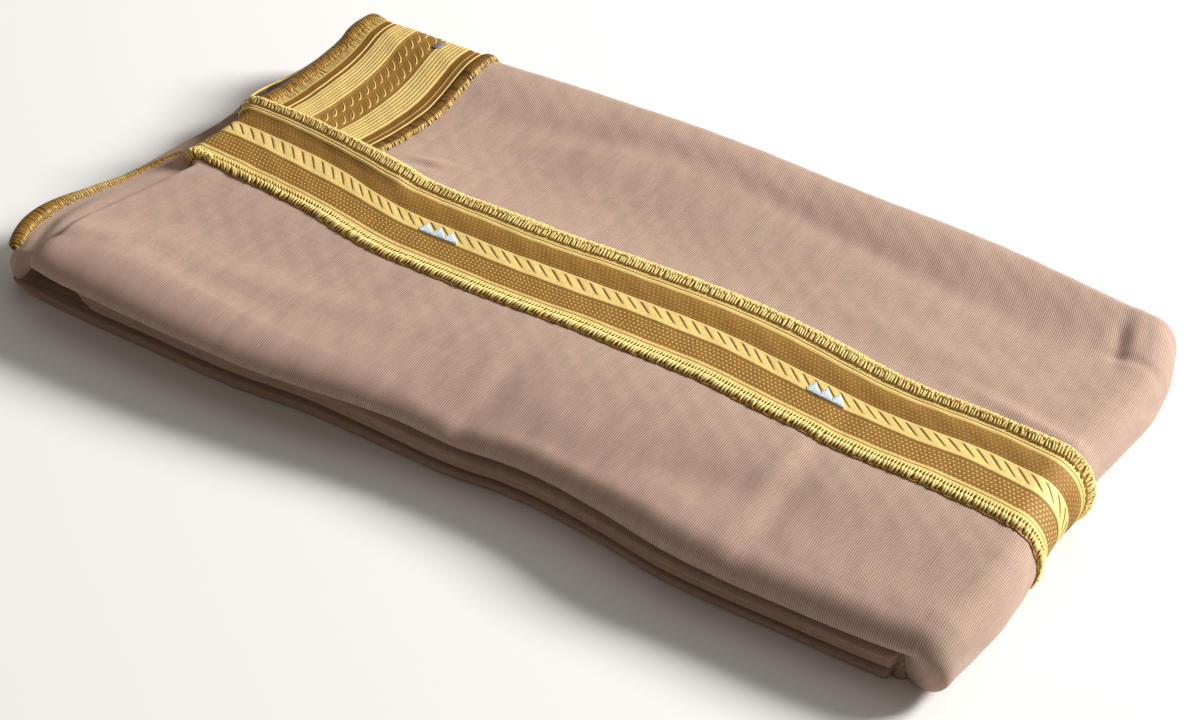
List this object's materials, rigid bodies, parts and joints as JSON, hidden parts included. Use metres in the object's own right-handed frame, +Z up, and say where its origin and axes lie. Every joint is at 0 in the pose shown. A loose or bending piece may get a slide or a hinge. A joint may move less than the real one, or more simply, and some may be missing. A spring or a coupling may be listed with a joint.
{
  "type": "folded bisht cloak",
  "caption": "Bisht cloak folded flat into a parcel: soft twill fronts over rounded hidden layers, a woven gold band along the free edge, a wide collar band across one end and a corded edge.",
  "frame": {"origin": "centre of the parcel's footprint, on the surface that it lies on", "axes": "+X along the parcel's length, away from the wide collar band; +Y across it, towards the edge that the far front rolls over; +Z up, out of the face that shows"},
  "size_m": [0.3867, 0.2433, 0.0339],
  "materials": {
    "cloth": "fine dusty pink-beige worsted twill with a soft low sheen",
    "gold_trim": "woven band of antique-gold metallic thread with pale gold ribs, scales and slashes",
    "gold_thread": "shiny gold thread in close satin and whip stitches"
  },
  "bodies": {
    "root": {"folded_stack": "cloth", "near_front": "cloth", "far_front": "cloth", "corded_layer": "cloth", "narrow_trim": "gold_trim", "narrow_trim_loops": "gold_thread", "narrow_trim_roll": "gold_thread", "wide_trim": "gold_trim", "wide_trim_outer_roll": "gold_thread", "wide_trim_inner_roll": "gold_thread", "gold_cord": "gold_thread"}
  },
  "joints": []
}
